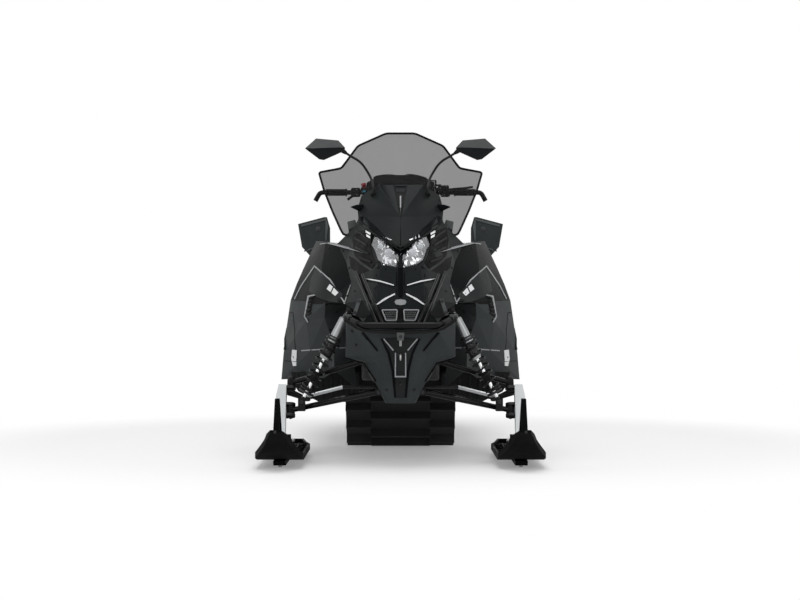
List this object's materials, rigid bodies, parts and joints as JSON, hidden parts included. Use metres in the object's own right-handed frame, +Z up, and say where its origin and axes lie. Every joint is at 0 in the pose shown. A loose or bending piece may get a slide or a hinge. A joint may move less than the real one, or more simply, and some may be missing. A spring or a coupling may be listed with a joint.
{
  "type": "two-up touring snowmobile",
  "caption": "Snowmobile with a long rubber track, two steered skis on forked arms, angular cowl, tall windshield, two-step seat, backrest and cargo rack.",
  "frame": {"origin": "on the ground under the middle of the machine's length", "axes": "+Z up, -Y the way the skis point, +X the rider's left"},
  "size_m": [1.2, 3.38, 1.4563],
  "materials": {
    "rail_alloy": "anodised",
    "black_coated": "satin powder coat",
    "track_rubber": "moulded matte",
    "wheel_rubber": "moulded matte",
    "damper_metal": "machined",
    "spring_steel": "gloss coated",
    "spindle_metal": "silver paint",
    "rod_steel": "plated",
    "ski_plastic": "moulded",
    "runner_steel": "worn bare",
    "engine_metal": "cast",
    "gloss_black": "gloss",
    "matte_black": "fine grain",
    "lamp_lens": "clear over bright reflectors",
    "smoke_screen": "smoke tint",
    "seat_vinyl": "grained",
    "grip_rubber": "ribbed",
    "flap_rubber": "matte",
    "red_lens": "clear red"
  },
  "bodies": {
    "chassis": {"backrest": "seat_vinyl", "backrest_frame": "black_coated", "belly_pan": "matte_black", "bulkhead": "black_coated", "console": "matte_black", "dash": "matte_black", "drive_shaft": "wheel_rubber", "engine": "engine_metal", "front_bumper": "black_coated", "front_dampers": "damper_metal", "front_springs": "spring_steel", "headlamps": "lamp_lens", "hood": "gloss_black", "idler_wheels": "wheel_rubber", "lower_arms": "black_coated", "lower_side_left": "matte_black", "lower_side_right": "matte_black", "mirrors": "matte_black", "nose": "gloss_black", "passenger_guards": "matte_black", "rear_rack": "black_coated", "running_boards": "black_coated", "seat": "seat_vinyl", "slide_rails": "rail_alloy", "snow_flap": "flap_rubber", "steering_braces": "black_coated", "suspension_links": "black_coated", "tail_bumper": "black_coated", "tail_lamp": "red_lens", "tower": "black_coated", "track": "track_rubber", "tunnel": "black_coated", "upper_arms": "black_coated", "upper_side_left": "gloss_black", "upper_side_right": "gloss_black", "windshield": "smoke_screen"},
    "handlebar_assembly": {"handlebar": "black_coated", "grips": "grip_rubber", "controls": "matte_black", "steering_post": "black_coated"},
    "steering_link": {"tie_rods": "rod_steel"},
    "spindle_left_assembly": {"spindle_left": "spindle_metal"},
    "spindle_right_assembly": {"spindle_right": "spindle_metal"},
    "ski_left_assembly": {"ski_left": "ski_plastic", "ski_runner_left": "runner_steel"},
    "ski_right_assembly": {"ski_right": "ski_plastic", "ski_runner_right": "runner_steel"}
  },
  "joints": [
    {"name": "steer_handlebar", "type": "hinge", "parent": "chassis", "child": "handlebar_assembly", "pos_m": [0, -0.42, 1.2], "axis": [0, 0.5, 0.866], "range_deg": [-32, 32]},
    {"name": "steering_link_slide", "type": "slide", "parent": "chassis", "child": "steering_link", "axis": [1, 0, 0], "range_m": [-0.0465, 0.0465]},
    {"name": "steer_ski_left", "type": "hinge", "parent": "chassis", "child": "spindle_left_assembly", "pos_m": [0.47, -1.175, 0.225], "axis": [0, 0.4067, 0.9135], "range_deg": [-28, 28]},
    {"name": "ski_pitch_left", "type": "hinge", "parent": "spindle_left_assembly", "child": "ski_left_assembly", "pos_m": [0.502, -1.228, 0.1], "axis": [1, 0, 0], "range_deg": [-12, 12]},
    {"name": "steer_ski_right", "type": "hinge", "parent": "chassis", "child": "spindle_right_assembly", "pos_m": [-0.47, -1.175, 0.225], "axis": [0, 0.4067, 0.9135], "range_deg": [-28, 28]},
    {"name": "ski_pitch_right", "type": "hinge", "parent": "spindle_right_assembly", "child": "ski_right_assembly", "pos_m": [-0.502, -1.228, 0.1], "axis": [1, 0, 0], "range_deg": [-12, 12]}
  ],
  "couplings": [
    {"joint": "steering_link_slide", "follows": "steer_handlebar", "m_per_rad": -0.083125},
    {"joint": "steer_ski_left", "follows": "steer_handlebar", "ratio": 0.875},
    {"joint": "steer_ski_right", "follows": "steer_handlebar", "ratio": 0.875}
  ]
}
